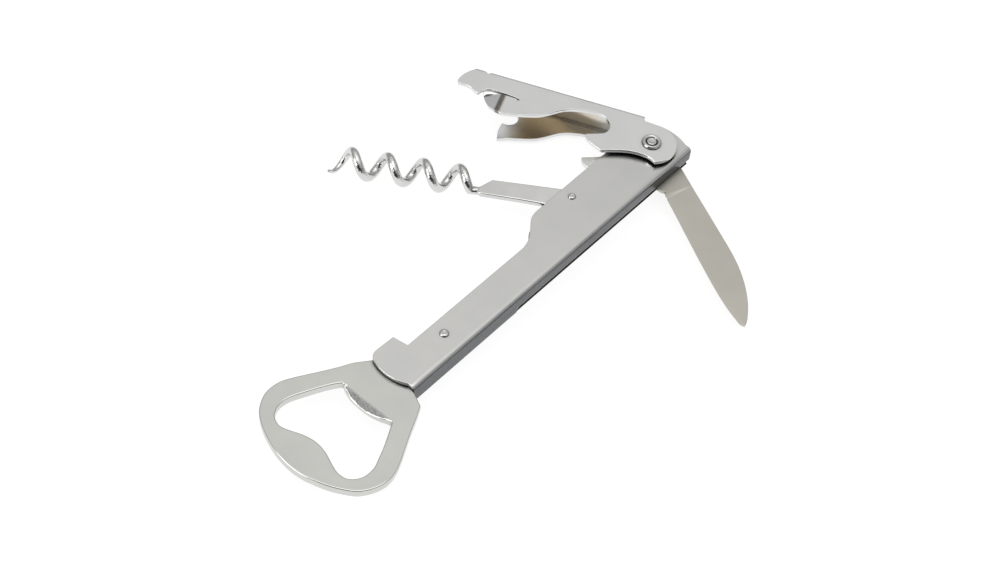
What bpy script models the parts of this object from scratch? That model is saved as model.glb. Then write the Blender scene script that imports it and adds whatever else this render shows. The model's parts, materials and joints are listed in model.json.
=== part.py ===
"""Waiters corkscrew, lying on its side with the lever, the worm and the knife swung half open.

One sheet of steel is folded into the handle channel. A crown-cap opener is riveted into one end of it.
The lever and the knife turn on one rivet at the other end, and the worm turns on its own pin between
them. Metres. +Z runs through the two cheeks, +X from the opener to the lever's rivet, and +Y to the side
the worm folds against.
"""

import math

import bmesh
import bpy
from mathutils import Matrix, Vector

MM = 0.001

# The folded handle channel: cheeks at the top and bottom, spine on the -Y side, open on the +Y side.
SHEET = 0.95
CHEEK_OUT = 3.05
CHEEK_IN = CHEEK_OUT - SHEET
SPINE_Y = -7.5
NARROW_Y = 1.42
WIDE_Y = 6.5
SLOT_START_X = -58.5
SLOT_Z = (-2.4, -0.75)

# Hinges and the fixed rivet, seen from above, with the main rivet as the zero point.
MAIN_AT = (0.0, 0.0)
WORM_AT = (-26.2, 3.46)
OPENER_RIVET_AT = (-77.9, -2.2)
MAIN_R, WORM_PIN_R, OPENER_RIVET_R = 1.2, 0.75, 0.9
CLEAR = 0.08

# The lever: a narrower-gauge channel that straddles the handle.
LEVER_OUT = 4.7
LEVER_SHEET = 0.95
# The bottle foot: where its bend is, how far it dips there, and its slope in radians.
FOOT_AT_X, FOOT_DIP, FOOT_LEAN = -37.2, 0.04, 0.21
LEVER_IN = LEVER_OUT - LEVER_SHEET
BRIDGE_Y = 8.5
BRIDGE_END = 37.8

# The opener plate, the worm and the blade: heights of their faces and the worm's coil.
OPENER_Z = (-0.2, 1.93)
SHANK_Z = (0.2, 1.6)
BLADE_Z = (-1.85, -0.95)
COIL_PITCH = 8.9
COIL_TURNS = 3.93
COIL_R = 2.95
WIRE_R = 1.05
COIL_OFFSET = 2.45
COIL_Z = 0.2
COIL_START = 23.75

# How far each tool stands open from its folded place along the handle.
LEVER_OPEN = math.radians(66.7)
WORM_OPEN = math.radians(56.5)
KNIFE_OPEN = math.radians(62.2)

STEEL = (0.62, 0.615, 0.60, 1.0)
BLADE_STEEL = (0.50, 0.485, 0.44, 1.0)
BRIGHT = (0.72, 0.72, 0.72, 1.0)


def clear_scene():
    for obj in list(bpy.data.objects):
        bpy.data.objects.remove(obj, do_unlink=True)


def new_collection(name, hidden=False):
    collection = bpy.data.collections.new(name)
    bpy.context.scene.collection.children.link(collection)
    collection.hide_render = hidden
    return collection


def steel(name, colour, roughness):
    material = bpy.data.materials.new(name)
    material.use_nodes = True
    shader = material.node_tree.nodes["Principled BSDF"]
    shader.inputs["Base Color"].default_value = colour
    shader.inputs["Metallic"].default_value = 1.0
    shader.inputs["Roughness"].default_value = roughness
    return material


def arc(centre, radius, start, end, steps):
    """Points on a circle from one angle to another, in degrees."""
    angles = [math.radians(start + (end - start) * i / steps) for i in range(steps + 1)]
    return [(centre[0] + radius * math.cos(a), centre[1] + radius * math.sin(a)) for a in angles]


def curve_point(p0, p1, p2, p3, u):
    """A point on the Catmull-Rom curve between p1 and p2."""
    bend = 2 * p0 - 5 * p1 + 4 * p2 - p3
    twist = 3 * p1 - p0 - 3 * p2 + p3
    return 0.5 * (2 * p1 + (p2 - p0) * u + bend * u**2 + twist * u**3)


def smoothed(points, steps=3):
    """A closed Catmull-Rom curve through the points."""
    found = []
    count = len(points)
    for i in range(count):
        p0, p1, p2, p3 = (Vector(points[(i + k) % count]) for k in (-1, 0, 1, 2))
        for j in range(steps):
            u = j / steps
            found.append(tuple(curve_point(p0, p1, p2, p3, u)))
    return found


def smoothed_run(points, steps=3):
    """An open Catmull-Rom curve through the points, with both end points kept."""
    padded = [points[0], *points, points[-1]]
    found = []
    for i in range(1, len(padded) - 2):
        p0, p1, p2, p3 = (Vector(padded[i + k]) for k in (-1, 0, 1, 2))
        for j in range(steps):
            u = j / steps
            found.append(tuple(curve_point(p0, p1, p2, p3, u)))
    found.append(tuple(points[-1]))
    return found


def baked(obj, collection, material=None):
    """The object's shape with its modifiers applied, as a plain mesh object of the same name."""
    graph = bpy.context.evaluated_depsgraph_get()
    mesh = bpy.data.meshes.new_from_object(obj.evaluated_get(graph))
    name, matrix = obj.name, obj.matrix_world.copy()
    bpy.data.objects.remove(obj, do_unlink=True)
    result = bpy.data.objects.new(name, mesh)
    result.matrix_world = matrix
    collection.objects.link(result)
    if material:
        mesh.materials.clear()
        mesh.materials.append(material)
    bpy.context.view_layer.update()
    return result


def weld(obj, distance=0.002 * MM):
    shape = bmesh.new()
    shape.from_mesh(obj.data)
    bmesh.ops.remove_doubles(shape, verts=shape.verts, dist=distance)
    bmesh.ops.recalc_face_normals(shape, faces=shape.faces)
    shape.to_mesh(obj.data)
    shape.free()


def prism(name, outlines, low, high, collection, material=None):
    """A flat plate between two heights, in mm, from closed outlines in XY: the later ones are holes."""
    data = bpy.data.curves.new(name, "CURVE")
    data.dimensions = "2D"
    data.fill_mode = "BOTH"
    data.extrude = (high - low) / 2 * MM
    for outline in outlines:
        spline = data.splines.new("POLY")
        spline.points.add(len(outline) - 1)
        for point, (x, y) in zip(spline.points, outline):
            point.co = (x * MM, y * MM, 0.0, 1.0)
        spline.use_cyclic_u = True
    obj = bpy.data.objects.new(name, data)
    collection.objects.link(obj)
    bpy.context.view_layer.update()
    obj = baked(obj, collection, material)
    obj.data.transform(Matrix.Translation((0, 0, (low + high) / 2 * MM)))
    weld(obj)
    return obj


def along_x(obj, x):
    """Turns a prism drawn as a (Y, Z) section so that it runs along X, starting at x."""
    obj.data.transform(Matrix(((0, 0, 1, x * MM), (1, 0, 0, 0), (0, 1, 0, 0), (0, 0, 0, 1))))
    return obj


def box(name, low, high, collection):
    outline = [(low[0], low[1]), (high[0], low[1]), (high[0], high[1]), (low[0], high[1])]
    return prism(name, [outline], low[2], high[2], collection)


def cylinder(name, at, radius, low, high, collection, steps=32):
    return prism(name, [arc(at, radius, 0, 360 - 360 / steps, steps - 1)], low, high, collection)


def boolean(obj, other, operation):
    modifier = obj.modifiers.new(other.name, "BOOLEAN")
    modifier.operation = operation
    modifier.solver = "EXACT"
    modifier.object = other
    other.hide_render = True
    other.display_type = "WIRE"


def turned(name, profile, at, collection, material, steps=32):
    """A turned piece from its (radius, height) outer profile, top to bottom, in mm."""
    mesh = bpy.data.meshes.new(name)
    edges = [(i, i + 1) for i in range(len(profile) - 1)]
    mesh.from_pydata([(r * MM, 0, z * MM) for r, z in profile], edges, [])
    obj = bpy.data.objects.new(name, mesh)
    obj.location = (at[0] * MM, at[1] * MM, 0)
    collection.objects.link(obj)
    screw = obj.modifiers.new("turned", "SCREW")
    screw.steps = screw.render_steps = steps
    screw.use_merge_vertices = True
    screw.merge_threshold = 0.00001
    screw.use_smooth_shade = False
    mesh.materials.append(material)
    return obj


def ring(name, at, inner, outer, low, high, collection, material):
    """A washer or a spacer, with a small chamfer on its outer corners."""
    c = min(0.12, (high - low) / 4)
    profile = [
        (inner, low), (inner, high), (outer - c, high), (outer, high - c), (outer, low + c), (outer - c, low),
    ]  # fmt: skip
    return turned(name, [*profile, (inner, low)], at, collection, material)


def channel_section(depth, back, out, sheet, corner):
    """A U section in (Y, Z): its back at y = back, its legs running towards y = depth."""
    side = 1 if depth > back else -1
    turn = 90 if side > 0 else -90
    y_out, y_in = back + side * corner, back + side * sheet
    r_in = corner - sheet if corner - sheet > 0.25 else 0.25
    start = 90
    outer_top = arc((y_out, out - corner), corner, start, start + turn, 5)
    outer_bottom = arc((y_out, corner - out), corner, start + turn, start + 2 * turn, 5)
    inner_bottom = arc((y_in + side * r_in, sheet - out + r_in), r_in, start + 2 * turn, start + turn, 3)
    inner_top = arc((y_in + side * r_in, out - sheet - r_in), r_in, start + turn, start, 3)
    return [
        (depth, out),
        *outer_top,
        *outer_bottom,
        (depth, -out),
        (depth, sheet - out),
        *inner_bottom,
        *inner_top,
        (depth, out - sheet),
    ]


def handle_outline():
    """The cheeks' outline. It stays outside the spine, which the section itself ends."""
    upper_end = smoothed_run(
        [(6.1, -7.4), (6.95, -5.6), (7.65, -3.3), (7.9, -0.9), (7.7, 1.4), (6.9, 3.6), (5.6, 5.2), (3.8, 6.25)],
        steps=2,
    )
    step = smoothed_run(
        [(-36.0, WIDE_Y), (-38.3, 5.9), (-41.2, 3.8), (-43.8, 2.15), (-46.5, NARROW_Y)], steps=4
    )
    opener_end = arc((-84.0, -0.3), 11.0, 155, 221, 12)
    return [
        (5.9, SPINE_Y - 2),
        *upper_end,
        (2.0, WIDE_Y),
        (-12.0, WIDE_Y + 0.15),
        (-20.0, WIDE_Y + 0.2),
        *step,
        (-85.9, NARROW_Y),
        (-86.5, 5.25),
        (-91.4, 5.45),
        (-93.0, 5.2),
        *opener_end,
        (-92.0, SPINE_Y - 2),
    ]


def handle_channel(parts, cutters, material):
    section = channel_section(9.5, SPINE_Y, CHEEK_OUT, SHEET, 1.1)
    obj = prism("handle_channel", [section], 0, 130, parts, material)
    along_x(obj, -110)
    surround = [(-125, -20), (25, -20), (25, 20), (-125, 20)]
    boolean(obj, prism("cut_handle_outline", [surround, handle_outline()], -8, 8, cutters), "DIFFERENCE")
    slot = box("cut_knife_slot", (SLOT_START_X, -12, SLOT_Z[0]), (20, -5.9, SLOT_Z[1]), cutters)
    boolean(obj, slot, "DIFFERENCE")
    for at, radius in ((MAIN_AT, MAIN_R), (WORM_AT, WORM_PIN_R), (OPENER_RIVET_AT, OPENER_RIVET_R)):
        hole = cylinder("cut_handle_hole", at, radius + CLEAR, -8, 8, cutters)
        boolean(obj, hole, "DIFFERENCE")
    return baked(obj, parts, material)


def opener_plate(parts, cutters, material):
    head = [
        (-95.3, -11.1), (-98.4, -12.7), (-101.7, -14.2), (-105.3, -16.0), (-109.1, -17.9), (-112.0, -18.9),
        (-114.7, -19.1), (-117.3, -18.4), (-119.6, -17.1), (-121.3, -15.4), (-123.5, -11.6), (-124.8, -8.1),
        (-125.6, -4.9), (-125.8, -1.7), (-125.5, 1.2), (-124.8, 4.4), (-123.4, 8.1), (-121.9, 10.8),
        (-120.4, 12.7), (-118.5, 14.1), (-116.2, 15.1), (-113.7, 15.3), (-111.2, 14.8), (-108.0, 13.2),
        (-103.8, 10.75), (-99.5, 8.4), (-97.2, 7.3), (-93.6, 4.7),
    ]  # fmt: skip
    neck = [
        (-87.0, 4.7), (-86.4, 1.0), (-68.0, 1.0), (-66.4, 0.2), (-65.6, -2.4), (-66.4, -5.0), (-68.0, -6.0),
    ]  # fmt: skip
    outline = [*neck, (-93.3, -6.0), (-93.9, -8.2), *smoothed_run(head, 2)]
    mouth = [
        (-102.8, 5.2), (-105.9, 7.1), (-109.2, 8.7), (-112.6, 10.2), (-114.2, 10.65), (-115.9, 10.75),
        (-117.3, 10.4), (-118.8, 9.5), (-119.6, 8.2), (-119.9, 6.6), (-119.2, 4.4), (-118.2, 2.0),
        (-117.6, -0.5), (-117.6, -2.8), (-118.1, -5.1), (-119.0, -7.3), (-119.8, -9.6), (-119.9, -11.2),
        (-119.6, -12.5), (-118.6, -13.7), (-117.0, -14.6), (-114.9, -14.8), (-113.2, -14.5), (-111.3, -13.7),
        (-108.9, -12.7), (-106.3, -11.4), (-103.6, -10.0), (-102.7, -9.3), (-103.5, -6.9), (-104.1, -4.2),
        (-104.2, -1.2), (-103.9, 1.8), (-103.0, 4.2),
    ]  # fmt: skip
    obj = prism("opener_plate", [outline, smoothed(mouth, 2)], *OPENER_Z, parts, material)
    lip = prism("opener_lip", [arc((4.6, 0), 7.6, 127.3, 232.7, 12)], -0.8, 0.8, cutters)
    # The lip leans from its root in the plate down and towards the mouth.
    root = Vector((-103.0, -3.1, 1.0)) * MM
    lean = Vector((-0.50, 0, -0.866))
    across = Vector((0, 1, 0))
    frame = Matrix((-lean, across, lean.cross(across))).transposed().to_4x4()
    lip.data.transform(Matrix.Translation(root) @ frame)
    boolean(obj, lip, "UNION")
    hole = cylinder("cut_opener_hole", OPENER_RIVET_AT, OPENER_RIVET_R + CLEAR, -8, 8, cutters)
    boolean(obj, hole, "DIFFERENCE")
    return baked(obj, parts, material)


def lever_wave():
    """The lower edge of both legs, from the foot's corner round the window to the lobe beside the handle."""
    return smoothed_run(
        [
            (-34.9, -4.0), (-32.6, -3.3), (-30.3, -2.5), (-28.0, -1.5), (-25.9, 0.1), (-23.9, 1.9), (-21.8, 3.2),
            (-18.0, 4.3), (-14.9, 4.6), (-13.0, 4.2), (-11.6, 2.9), (-11.0, 1.7), (-10.9, 0.3), (-11.5, -1.05),
            (-12.5, -1.75), (-15.8, -3.2),
        ],
        steps=2,
    )  # fmt: skip


def lever_ear():
    """From the lobe round the rivet to the bridge's end."""
    lobe = smoothed_run(
        [(-15.6, -4.1), (-14.9, -4.9), (-13.3, -5.9), (-10.9, -7.0), (-9.6, -6.5), (-6.3, -5.2), (-3.9, -4.6),
         (-1.4, -4.5), (0.4, -4.75)],
        steps=2,
    )  # fmt: skip
    end = arc(MAIN_AT, 6.3, -68, 90, 16)
    return [*lobe, (1.5, -5.3), *end, (-3.1, 6.5), (-3.6, 6.9), (-3.6, 10.5)]


def front_leg_outline():
    nose = smoothed_run(
        [(-44.2, 7.3), (-45.5, 7.8), (-46.4, 8.0), (-47.9, 7.3), (-48.9, 6.2), (-49.8, 4.8), (-50.4, 2.9),
         (-50.2, 1.6), (-48.0, 1.5), (-46.4, 1.0), (-44.6, -0.1), (-43.8, 1.0), (-43.0, 1.8), (-41.7, 2.3),
         (-40.0, 2.3), (-37.6, 2.2)],
        steps=2,
    )  # fmt: skip
    return [
        (-43.6, 10.5), *nose, (-34.6, 1.9), (-34.2, 1.55), (-34.6, 1.2), (-37.3, 1.1), (-37.3, -4.6),
        *lever_wave(), *lever_ear(),
    ]  # fmt: skip


def back_leg_outline():
    rest = arc((-36.6, 2.8), 2.4, 100, -80, 10)
    foot = [(-37.6, 0.4), (-37.8, -2.4), (-37.2, -5.3)]
    return [(-BRIDGE_END, 10.5), (-BRIDGE_END, 6.0), *rest, *foot, *lever_wave(), *lever_ear()]


def lever(parts, cutters, material):
    section = channel_section(-12, BRIDGE_Y, LEVER_OUT, LEVER_SHEET, 1.1)
    obj = prism("lever", [section], 0, 70, parts, material)
    along_x(obj, -58)
    surround = [(-70, -20), (25, -20), (25, 20), (-70, 20)]
    front = prism("cut_front_leg", [surround, front_leg_outline()], -0.2, 8, cutters)
    back = prism("cut_back_leg", [surround, back_leg_outline()], -8, 0.2, cutters)
    past_bridge = box("cut_past_bridge", (-60, -14, -1), (-BRIDGE_END, 12, 2.9), cutters)
    for cutter in (front, back, past_bridge):
        boolean(obj, cutter, "DIFFERENCE")
    # The foot that stands on the bottle's lip: the end of the upper leg, bent inwards.
    foot_outline = [(0.9, -4.35), (0.0, -4.45), (-3.5, -2.9), (-5.5, -0.4), (-6.3, 1.3), (-5.6, 2.0), (-4.0, 1.6)]
    foot = prism("lever_foot", [[*foot_outline, (0.9, 0.8)]], -LEVER_SHEET / 2, LEVER_SHEET / 2, cutters)
    middle = (LEVER_OUT + LEVER_IN) / 2
    placed = Matrix.Translation(Vector((FOOT_AT_X, 0, middle - FOOT_DIP)) * MM)
    foot.data.transform(placed @ Matrix.Rotation(-FOOT_LEAN, 4, "Y"))
    boolean(obj, foot, "UNION")
    hole = cylinder("cut_lever_hole", MAIN_AT, MAIN_R + CLEAR, -8, 8, cutters)
    boolean(obj, hole, "DIFFERENCE")
    return baked(obj, parts, material)


def coil_points():
    """The worm's wire, a point and radius at a time: a run inside the shank, the helix, the drawn-out tip."""
    points = [(-15.0, -0.7, 0.8, 0.75), (-19.0, -0.8, 0.8, 0.8), (-21.6, -0.75, 0.6, 0.95)]
    per_turn = 22
    count = round(COIL_TURNS * per_turn)
    for i in range(count + 1):
        angle = -math.pi / 2 + 2 * math.pi * i / per_turn
        left = (count - i) / per_turn
        thin = 1.0 if left > 0.85 else 0.16 + 0.84 * (left / 0.85) ** 0.8
        x = -(COIL_START + COIL_PITCH * i / per_turn)
        y = COIL_OFFSET + COIL_R * math.sin(angle)
        z = COIL_Z + COIL_R * math.cos(angle)
        points.append((x, y, z, thin))
    return points


def worm(parts, cutters, material):
    eye = arc((0, 0), 3.1, -60, 60, 10)
    shank_outline = [
        *eye, (-2.7, 3.3), (-9.8, 3.1), (-19.3, 2.8), (-22.3, -0.3), (-22.4, -1.5), (-21.6, -2.1), (-12.0, -2.15),
        (-6.8, -2.3), (-1.0, -3.0),
    ]  # fmt: skip
    obj = prism("worm", [shank_outline], *SHANK_Z, parts, material)
    data = bpy.data.curves.new("worm_wire", "CURVE")
    data.dimensions = "3D"
    data.bevel_depth = WIRE_R * MM
    data.bevel_resolution = 2
    data.use_fill_caps = True
    points = coil_points()
    spline = data.splines.new("POLY")
    spline.points.add(len(points) - 1)
    for point, (x, y, z, radius) in zip(spline.points, points):
        point.co = (x * MM, y * MM, z * MM, 1.0)
        point.radius = radius
    wire = bpy.data.objects.new("worm_wire", data)
    cutters.objects.link(wire)
    bpy.context.view_layer.update()
    wire = baked(wire, cutters)
    weld(wire)
    boolean(obj, wire, "UNION")
    hole = cylinder("cut_worm_hole", (0, 0), WORM_PIN_R + CLEAR, -8, 8, cutters)
    boolean(obj, hole, "DIFFERENCE")
    return baked(obj, parts, material)


def blade_stations():
    """(x, cutting edge y, back y) down the blade, folded along -X."""
    return [
        (-11.3, 0.55, -6.6), (-14.0, 0.95, -6.62), (-19.0, 1.1, -6.7), (-26.4, 1.4, -6.75), (-32.0, 1.6, -6.78),
        (-37.0, 1.72, -6.55), (-41.0, 1.78, -5.95), (-44.5, 1.75, -5.1), (-47.5, 1.6, -4.1), (-50.0, 1.35, -3.0),
        (-52.0, 1.05, -1.9), (-53.4, 0.8, -0.95),
    ]  # fmt: skip


def knife_blade(parts, cutters, material):
    low, high = BLADE_Z
    middle = (low + high) / 2
    tang_outline = [
        *arc((0, 0), 4.3, 150, -55, 16), (-3.5, -5.2), (-5.4, -6.6), (-12.0, -6.6), (-12.0, 0.75), (-11.2, 0.55),
        (-10.8, 1.2), (-9.6, 1.9), (-8.2, 2.1),
    ]  # fmt: skip
    obj = prism("knife_blade", [tang_outline], low, high, parts, material)
    # The ground part: full thickness at the back, thin along the cutting edge and at the tip.
    verts, faces = [], []
    stations = blade_stations()
    for x, edge, back in stations:
        taper = 1.0 if x > -44 else max(0.35, 1 - (-44 - x) / 16)
        half = (high - low) / 2 * 0.96 * taper
        for y, z in ((back, middle - half), (back, middle + half), (edge, middle + 0.07), (edge, middle - 0.07)):
            verts.append((x * MM, y * MM, z * MM))
    for i in range(len(stations) - 1):
        a, b = 4 * i, 4 * i + 4
        for j in range(4):
            k = (j + 1) % 4
            faces.append((a + j, b + j, b + k, a + k))
    last = 4 * len(stations) - 4
    tip = len(verts)
    verts += [(-54.4 * MM, 0.05 * MM, (middle + 0.08) * MM), (-54.4 * MM, 0.05 * MM, (middle - 0.08) * MM)]
    faces += [
        (last + 1, tip, last + 2),
        (last, last + 3, tip + 1),
        (last, tip + 1, tip, last + 1),
        (last + 3, last + 2, tip, tip + 1),
        (3, 2, 1, 0),
    ]
    mesh = bpy.data.meshes.new("ground_blade")
    mesh.from_pydata(verts, [], faces)
    ground = bpy.data.objects.new("ground_blade", mesh)
    cutters.objects.link(ground)
    weld(ground)
    boolean(obj, ground, "UNION")
    hole = cylinder("cut_knife_hole", (0, 0), MAIN_R + CLEAR, -8, 8, cutters)
    boolean(obj, hole, "DIFFERENCE")
    return baked(obj, parts, material)


def rivet(name, at, radius, head_r, face, height, parts, material):
    """A rivet with a domed head standing on each face at z = +face and -face."""
    dome = [(0, face + height), (head_r * 0.45, face + height * 0.93), (head_r * 0.8, face + height * 0.6)]
    top = [*dome, (head_r, face + height * 0.12), (head_r, face), (radius, face)]
    return turned(name, [*top, *[(r, -z) for r, z in reversed(top)]], at, parts, material)


def place(obj, at, angle):
    obj.location = (at[0] * MM, at[1] * MM, 0)
    obj.rotation_euler = (0, 0, angle)


def set_origin(parts):
    """Moves everything so that the origin is at the middle of the bounding box's underside."""
    bpy.context.view_layer.update()
    graph = bpy.context.evaluated_depsgraph_get()
    corners = []
    for obj in parts.objects:
        shape = obj.evaluated_get(graph)
        mesh = shape.to_mesh()
        corners += [shape.matrix_world @ vertex.co for vertex in mesh.vertices]
        shape.to_mesh_clear()
    lows = [min(c[i] for c in corners) for i in range(3)]
    highs = [max(c[i] for c in corners) for i in range(3)]
    for obj in parts.objects:
        obj.location.x -= (lows[0] + highs[0]) / 2
        obj.location.y -= (lows[1] + highs[1]) / 2
        obj.location.z -= lows[2]


def smooth_round_pieces(parts):
    for obj in parts.objects:
        for polygon in obj.data.polygons:
            polygon.use_smooth = False
        if obj.name == "worm":
            obj.data.shade_smooth()


def main():
    clear_scene()
    parts = new_collection("waiters_corkscrew")
    cutters = new_collection("cutters", hidden=True)
    handle_channel(parts, cutters, steel("handle_nickel_plate", STEEL, 0.22))
    opener_plate(parts, cutters, steel("opener_nickel_plate", STEEL, 0.24))
    place(lever(parts, cutters, steel("lever_nickel_plate", STEEL, 0.22)), MAIN_AT, -LEVER_OPEN)
    place(worm(parts, cutters, steel("worm_nickel_plate", BRIGHT, 0.12)), WORM_AT, -WORM_OPEN)
    place(knife_blade(parts, cutters, steel("blade_steel", BLADE_STEEL, 0.3)), MAIN_AT, KNIFE_OPEN)

    rivets = steel("rivet_steel", BRIGHT, 0.2)
    spacers = steel("spacer_steel", STEEL, 0.35)
    over_cheek, over_ear = CHEEK_OUT + 0.08, LEVER_OUT + 0.1
    rivet("opener_rivet", OPENER_RIVET_AT, OPENER_RIVET_R, 1.1, over_cheek, 0.4, parts, rivets)
    rivet("worm_pin", WORM_AT, WORM_PIN_R, 0.95, over_cheek, 0.3, parts, rivets)
    rivet("main_rivet", MAIN_AT, MAIN_R, 1.75, over_ear + 0.45, 0.2, parts, rivets)
    hole = MAIN_R + CLEAR
    for side, name in ((1, "upper"), (-1, "lower")):
        collar = sorted((side * over_ear, side * (over_ear + 0.37)))
        ring(f"rivet_collar_{name}", MAIN_AT, hole, 2.4, *collar, parts, rivets)
        washer = sorted((side * (CHEEK_OUT + 0.13), side * (LEVER_IN - 0.13)))
        ring(f"bearing_washer_{name}", MAIN_AT, hole, 3.6, *washer, parts, spacers)
    ring("knife_spacer", MAIN_AT, hole, 3.2, BLADE_Z[1] + 0.2, CHEEK_IN - 0.15, parts, spacers)
    ring("worm_spacer", WORM_AT, WORM_PIN_R + CLEAR, 1.6, -CHEEK_IN + 0.15, SHANK_Z[0] - 0.15, parts, spacers)
    between = (-CHEEK_IN + 0.15, OPENER_Z[0] - 0.15)
    ring("opener_spacer", OPENER_RIVET_AT, OPENER_RIVET_R + CLEAR, 3.0, *between, parts, spacers)
    smooth_round_pieces(parts)
    set_origin(parts)


main()
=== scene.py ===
"""The looks of the waiters corkscrew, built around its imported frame.

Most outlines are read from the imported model's own faces, smoothed, made again as a flat blank with
rounded edges, and folded as the real sheet is. Each tool is worked on in its own drawing frame:
millimetres, pivot at zero, lying folded along -X. A matrix then takes it to its place on the frame.
"""
import json
import math

import bmesh
import bpy
from mathutils import Euler, Matrix, Vector


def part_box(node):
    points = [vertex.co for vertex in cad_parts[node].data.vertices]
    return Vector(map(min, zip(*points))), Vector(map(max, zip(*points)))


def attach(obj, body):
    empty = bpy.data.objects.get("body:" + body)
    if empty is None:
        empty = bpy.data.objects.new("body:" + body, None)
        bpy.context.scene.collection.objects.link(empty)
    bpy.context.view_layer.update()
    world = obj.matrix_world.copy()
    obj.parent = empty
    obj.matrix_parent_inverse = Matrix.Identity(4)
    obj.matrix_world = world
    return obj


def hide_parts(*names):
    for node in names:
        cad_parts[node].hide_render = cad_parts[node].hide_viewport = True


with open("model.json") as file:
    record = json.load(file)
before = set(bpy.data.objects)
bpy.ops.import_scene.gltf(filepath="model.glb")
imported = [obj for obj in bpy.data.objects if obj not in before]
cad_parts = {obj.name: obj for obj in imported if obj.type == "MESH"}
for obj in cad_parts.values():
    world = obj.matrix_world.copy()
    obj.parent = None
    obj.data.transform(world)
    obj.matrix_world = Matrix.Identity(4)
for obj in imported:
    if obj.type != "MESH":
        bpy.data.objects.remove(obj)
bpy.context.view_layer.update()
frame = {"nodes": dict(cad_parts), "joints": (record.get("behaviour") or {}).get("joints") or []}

MM = 0.001
HINGES = {joint["name"]: Vector(joint["pos_m"]) for joint in frame["joints"]}
# How far each tool stands open at rest, from lying folded in the handle.
LEVER_OPEN, WORM_OPEN, KNIFE_OPEN = (math.radians(a) for a in (66.7, 56.5, 62.2))

# The two folded sheets, in mm: outer half width, outside of the back, and gauge.
CHEEK_OUT, SPINE_Y, HANDLE_SHEET = 3.05, -7.5, 0.95
LEVER_OUT, BRIDGE_Y, LEVER_SHEET = 4.7, 8.5, 0.95
# The radius of a fold at the sheet's middle and at its outside, and the cuts that let it bend.
FOLD_R, OUTER_FOLD_R, FOLD_CUTS = 0.625, 1.1, 12
# Loops with less area or fewer points come from the facets of a bend, and aren't outlines.
SMALLEST_HOLE, FEWEST_POINTS = 0.8, 6
# Points closer than this are one point, and cuts this close to a point go through it.
SAME = 0.0005
# How much smaller than its outline a plate is made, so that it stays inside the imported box.
WITHIN = 0.004


def clamped(value):
    """The value, held between 0 and 1."""
    return max(0.0, min(1.0, value))


def drawing(hinge, angle=0.0):
    """From a tool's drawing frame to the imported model's frame."""
    return Matrix.Translation(HINGES[hinge]) @ Matrix.Rotation(angle, 4, "Z") @ Matrix.Scale(MM, 4)


ON_HANDLE = drawing("lever_hinge")
ON_LEVER = drawing("lever_hinge", -LEVER_OPEN)
ON_WORM = drawing("worm_hinge", -WORM_OPEN)
ON_KNIFE = drawing("lever_hinge", KNIFE_OPEN)


# Outlines ---------------------------------------------------------------------------------------------

def cad_shape(node, matrix):
    """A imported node's mesh in a drawing frame."""
    shape = bmesh.new()
    shape.from_mesh(frame["nodes"][node].data)
    shape.transform(matrix.inverted())
    bmesh.ops.remove_doubles(shape, verts=shape.verts, dist=0.002)
    shape.normal_update()
    return shape


def area_of(loop):
    """The loop's area, positive when it runs anticlockwise."""
    return sum(a.x * b.y - b.x * a.y for a, b in zip(loop, loop[1:] + loop[:1])) / 2


def straightened(loop):
    """The loop without the points that lie on a straight line between their neighbours."""
    kept = []
    for before, here, after in zip(loop[-1:] + loop[:-1], loop, loop[1:] + loop[:1]):
        if abs((here - before).angle_signed(after - here)) > math.radians(0.3):
            kept.append(here)
    return kept


def face_loops(node, matrix, level):
    """The outlines of a node's flat faces at one height, the largest first, all anticlockwise."""
    shape = cad_shape(node, matrix)
    upright = [face for face in shape.faces if abs(face.normal.z) > 0.99]
    flat = {face for face in upright if abs(face.calc_center_median().z - level) < 0.02}
    neighbours = {}
    for edge in shape.edges:
        if sum(face in flat for face in edge.link_faces) == 1:
            for vert in edge.verts:
                neighbours.setdefault(vert, []).append(edge.other_vert(vert))
    loops = []
    while neighbours:
        start = min(neighbours, key=lambda vert: vert.index)
        loop, here, last = [], start, None
        while here in neighbours:
            loop.append(Vector(here.co.xy))
            ahead = [vert for vert in neighbours.pop(here) if vert in neighbours and vert is not last]
            last = here
            if not ahead:
                break
            here = ahead[0]
        loop = straightened(loop)
        if len(loop) > FEWEST_POINTS and abs(area_of(loop)) > SMALLEST_HOLE:
            loops.append(loop if area_of(loop) > 0 else loop[::-1])
    shape.free()
    return sorted(loops, key=area_of, reverse=True)


def smooth_loop(loop, corner=33.0, straight=2.4, step=2.5):
    """The loop with its facets turned into curves, with a point for every step degrees of turn.

    Turns sharper than corner degrees and straight runs longer than straight mm stay as they are.
    """
    count = len(loop)
    sides = [loop[(i + 1) % count] - loop[i] for i in range(count)]
    arriving, leaving = [], []
    for i in range(count):
        before, after = sides[i - 1], sides[i]
        long_before, long_after = before.length > straight, after.length > straight
        turn = abs(math.degrees(before.angle_signed(after)))
        if turn > corner or (long_before and long_after):
            arriving.append(before.normalized())
            leaving.append(after.normalized())
            continue
        if long_before or long_after:
            way = (before if long_before else after).normalized()
        else:
            way = (before.normalized() * after.length + after.normalized() * before.length).normalized()
        arriving.append(way)
        leaving.append(way)
    found = []
    for i in range(count):
        start, end, side = loop[i], loop[(i + 1) % count], sides[i]
        start_way, end_way = leaving[i] * side.length, arriving[(i + 1) % count] * side.length
        turn = math.degrees(abs(start_way.angle_signed(side)) + abs(side.angle_signed(end_way)))
        steps = max(1, math.ceil(turn / step))
        for k in range(steps):
            u = k / steps
            found.append(
                start * (2 * u**3 - 3 * u**2 + 1) + start_way * (u**3 - 2 * u**2 + u)
                + end * (3 * u**2 - 2 * u**3) + end_way * (u**3 - u**2)
            )
    return found


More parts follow.
